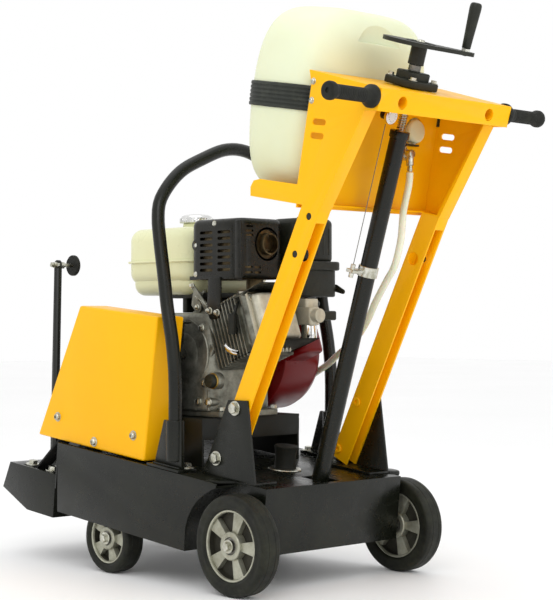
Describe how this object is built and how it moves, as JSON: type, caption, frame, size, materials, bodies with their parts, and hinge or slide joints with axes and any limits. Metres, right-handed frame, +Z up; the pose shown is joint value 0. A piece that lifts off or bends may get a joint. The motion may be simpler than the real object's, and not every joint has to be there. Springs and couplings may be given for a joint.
{
  "type": "walk-behind concrete saw",
  "caption": "Walk-behind floor saw frame on wheels: petrol engine, belt drive to a side blade spindle, water tank, raised handles and a crank-driven depth screw.",
  "frame": {"origin": "centre of the overall size, on the floor", "axes": "+X forward, away from the person pushing; +Y to the machine's left; +Z up"},
  "size_m": [1.2368, 0.6206, 1.1694],
  "materials": {
    "black_enamel": "gloss powder coat",
    "yellow_enamel": "gloss powder coat",
    "bright_steel": "zinc plated",
    "dark_steel": "blackened",
    "black_rubber": "matte",
    "wheel_tread": "matte",
    "wheel_casting": "as cast",
    "tank_plastic": "translucent natural polyethylene",
    "cream_enamel": "gloss",
    "engine_casting": "cast aluminium alloy, sand blasted",
    "red_enamel": "gloss",
    "black_plastic": "satin"
  },
  "bodies": {
    "chassis": {"chassis_frame": "black_enamel", "nose_housing": "black_enamel", "front_axle": "bright_steel", "belt_guard": "yellow_enamel", "belt_back_plate": "black_enamel", "drive_belt": "black_rubber", "deck_buffer": "black_rubber", "engine_platform": "black_enamel", "lifting_hoop": "black_enamel", "handle_frame": "yellow_enamel", "handle_bracket_left": "black_enamel", "handle_bracket_right": "black_enamel", "grip_left": "black_rubber", "grip_right": "black_rubber", "water_tank": "tank_plastic", "tank_strap": "black_rubber", "water_tap": "bright_steel", "water_hose": "tank_plastic", "spindle_bearing": "dark_steel", "depth_gauge": "bright_steel", "blade_guard": "black_enamel", "engine_block": "engine_casting", "valve_cover": "cream_enamel", "fan_cover": "red_enamel", "fuel_tank": "cream_enamel", "muffler": "dark_steel", "muffler_shield": "black_enamel", "air_cleaner": "black_plastic", "carburetor": "engine_casting", "spark_plug_cap": "black_rubber"},
    "rear_axle": {"rear_axle": "dark_steel"},
    "nut_tube": {"nut_tube": "black_enamel", "gauge_wire": "bright_steel"},
    "crank": {"depth_screw": "bright_steel", "crank_plate": "black_enamel"},
    "crank_grip": {"crank_grip": "black_plastic"},
    "blade_spindle": {"blade_shaft": "bright_steel", "blade_flange": "dark_steel"},
    "crankshaft": {"crankshaft_pulley": "dark_steel"},
    "pointer": {"pointer_arm": "black_enamel"},
    "pointer_roller": {"pointer_roller": "black_rubber"},
    "pointer_wing_nut": {"pointer_wing_nut": "bright_steel"},
    "guard_flap": {"blade_guard_flap": "black_enamel"},
    "recoil_handle": {"recoil_handle": "black_plastic"},
    "throttle_lever": {"throttle_lever": "bright_steel"},
    "choke_lever": {"choke_lever": "black_plastic"},
    "fuel_valve_lever": {"fuel_valve_lever": "black_plastic"},
    "engine_switch": {"engine_switch": "black_plastic"},
    "fuel_cap": {"fuel_cap": "bright_steel"},
    "tank_cap": {"water_tank_cap": "tank_plastic"},
    "oil_cap": {"oil_filler_cap": "black_plastic"},
    "tap_lever": {"tap_lever": "black_plastic"},
    "rear_left_wheel": {"rear_left_tyre": "wheel_tread", "rear_left_rim": "wheel_casting"},
    "rear_right_wheel": {"rear_right_tyre": "wheel_tread", "rear_right_rim": "wheel_casting"},
    "front_left_wheel": {"front_left_tyre": "wheel_tread", "front_left_rim": "wheel_casting"},
    "front_right_wheel": {"front_right_tyre": "wheel_tread", "front_right_rim": "wheel_casting"}
  },
  "joints": [
    {"name": "crank_spin", "type": "hinge", "parent": "chassis", "child": "crank", "pos_m": [-0.4914, 0, 0.91], "axis": [-0.3024, 0, 0.9532], "range_deg": [0, 2650]},
    {"name": "nut_tube_slide", "type": "slide", "parent": "chassis", "child": "nut_tube", "axis": [0.3024, 0, -0.9532], "range_m": [0, 0.0736]},
    {"name": "rear_axle_swing", "type": "hinge", "parent": "chassis", "child": "rear_axle", "pos_m": [-0.0801, 0, 0.1601], "axis": [0, -1, 0], "range_deg": [0, 25]},
    {"name": "crank_grip_spin", "type": "hinge", "parent": "crank", "child": "crank_grip", "pos_m": [-0.52633, -0.09304, 0.89892], "axis": [-0.3024, 0, 0.9532], "continuous": true},
    {"name": "rear_left_wheel_spin", "type": "hinge", "parent": "rear_axle", "child": "rear_left_wheel", "pos_m": [-0.2794, 0.238, 0.1], "axis": [0, 1, 0], "continuous": true},
    {"name": "front_left_wheel_spin", "type": "hinge", "parent": "chassis", "child": "front_left_wheel", "pos_m": [0.1319, 0.219, 0.074], "axis": [0, 1, 0], "continuous": true},
    {"name": "rear_right_wheel_spin", "type": "hinge", "parent": "rear_axle", "child": "rear_right_wheel", "pos_m": [-0.2794, -0.238, 0.1], "axis": [0, 1, 0], "continuous": true},
    {"name": "front_right_wheel_spin", "type": "hinge", "parent": "chassis", "child": "front_right_wheel", "pos_m": [0.1319, -0.219, 0.074], "axis": [0, 1, 0], "continuous": true},
    {"name": "blade_spindle_spin", "type": "hinge", "parent": "chassis", "child": "blade_spindle", "pos_m": [0.41341, 0, 0.16039], "axis": [0, 1, 0], "continuous": true},
    {"name": "crankshaft_spin", "type": "hinge", "parent": "chassis", "child": "crankshaft", "pos_m": [0.0236, 0, 0.466], "axis": [0, 1, 0], "continuous": true},
    {"name": "pointer_fold", "type": "hinge", "parent": "chassis", "child": "pointer", "pos_m": [0.52805, 0.09, 0.18992], "axis": [0, 1, 0], "range_deg": [0, 100]},
    {"name": "pointer_roller_spin", "type": "hinge", "parent": "pointer", "child": "pointer_roller", "pos_m": [0.51291, 0.06, 0.66778], "axis": [0, 1, 0], "continuous": true},
    {"name": "wing_nut_turn", "type": "hinge", "parent": "pointer", "child": "pointer_wing_nut", "pos_m": [0.51291, 0.098, 0.66778], "axis": [0, 1, 0], "range_deg": [0, 720]},
    {"name": "guard_flap_lift", "type": "hinge", "parent": "chassis", "child": "guard_flap", "pos_m": [0.49368, -0.279, 0.34902], "axis": [0, -1, 0], "range_deg": [0, 80]},
    {"name": "recoil_pull", "type": "slide", "parent": "chassis", "child": "recoil_handle", "axis": [-0.6, 0, 0.8], "range_m": [0, 0.22], "stiffness_N_per_m": 40, "springref_m": -0.1},
    {"name": "throttle_turn", "type": "hinge", "parent": "chassis", "child": "throttle_lever", "pos_m": [-0.1044, -0.151, 0.63], "axis": [0, 1, 0], "range_deg": [0, 60]},
    {"name": "choke_turn", "type": "hinge", "parent": "chassis", "child": "choke_lever", "pos_m": [-0.1364, -0.151, 0.63], "axis": [0, 1, 0], "range_deg": [0, 60]},
    {"name": "fuel_valve_turn", "type": "hinge", "parent": "chassis", "child": "fuel_valve_lever", "pos_m": [-0.1664, -0.151, 0.608], "axis": [0, 1, 0], "range_deg": [0, 70]},
    {"name": "engine_switch_turn", "type": "hinge", "parent": "chassis", "child": "engine_switch", "pos_m": [0.0856, -0.195, 0.552], "axis": [0, 1, 0], "range_deg": [0, 45]},
    {"name": "fuel_cap_turn", "type": "hinge", "parent": "chassis", "child": "fuel_cap", "pos_m": [0.1616, -0.04, 0.766], "axis": [0, 0, 1], "range_deg": [0, 90]},
    {"name": "tank_cap_turn", "type": "hinge", "parent": "chassis", "child": "tank_cap", "pos_m": [-0.4194, -0.118, 0.924], "axis": [-1, 0, 0], "range_deg": [0, 540]},
    {"name": "oil_cap_turn", "type": "hinge", "parent": "chassis", "child": "oil_cap", "pos_m": [-0.0724, 0.125, 0.411], "axis": [0, 1, 0], "range_deg": [0, 720]},
    {"name": "tap_turn", "type": "hinge", "parent": "chassis", "child": "tap_lever", "pos_m": [-0.4264, -0.084, 0.894], "axis": [0, 0, -1], "range_deg": [0, 90]}
  ],
  "couplings": [
    {"joint": "nut_tube_slide", "follows": "crank_spin", "m_per_rad": 0.0015913},
    {"joint": "rear_axle_swing", "follows": "crank_spin", "ratio": 0.009434},
    {"joint": "crankshaft_spin", "follows": "blade_spindle_spin", "ratio": 0.8421}
  ]
}
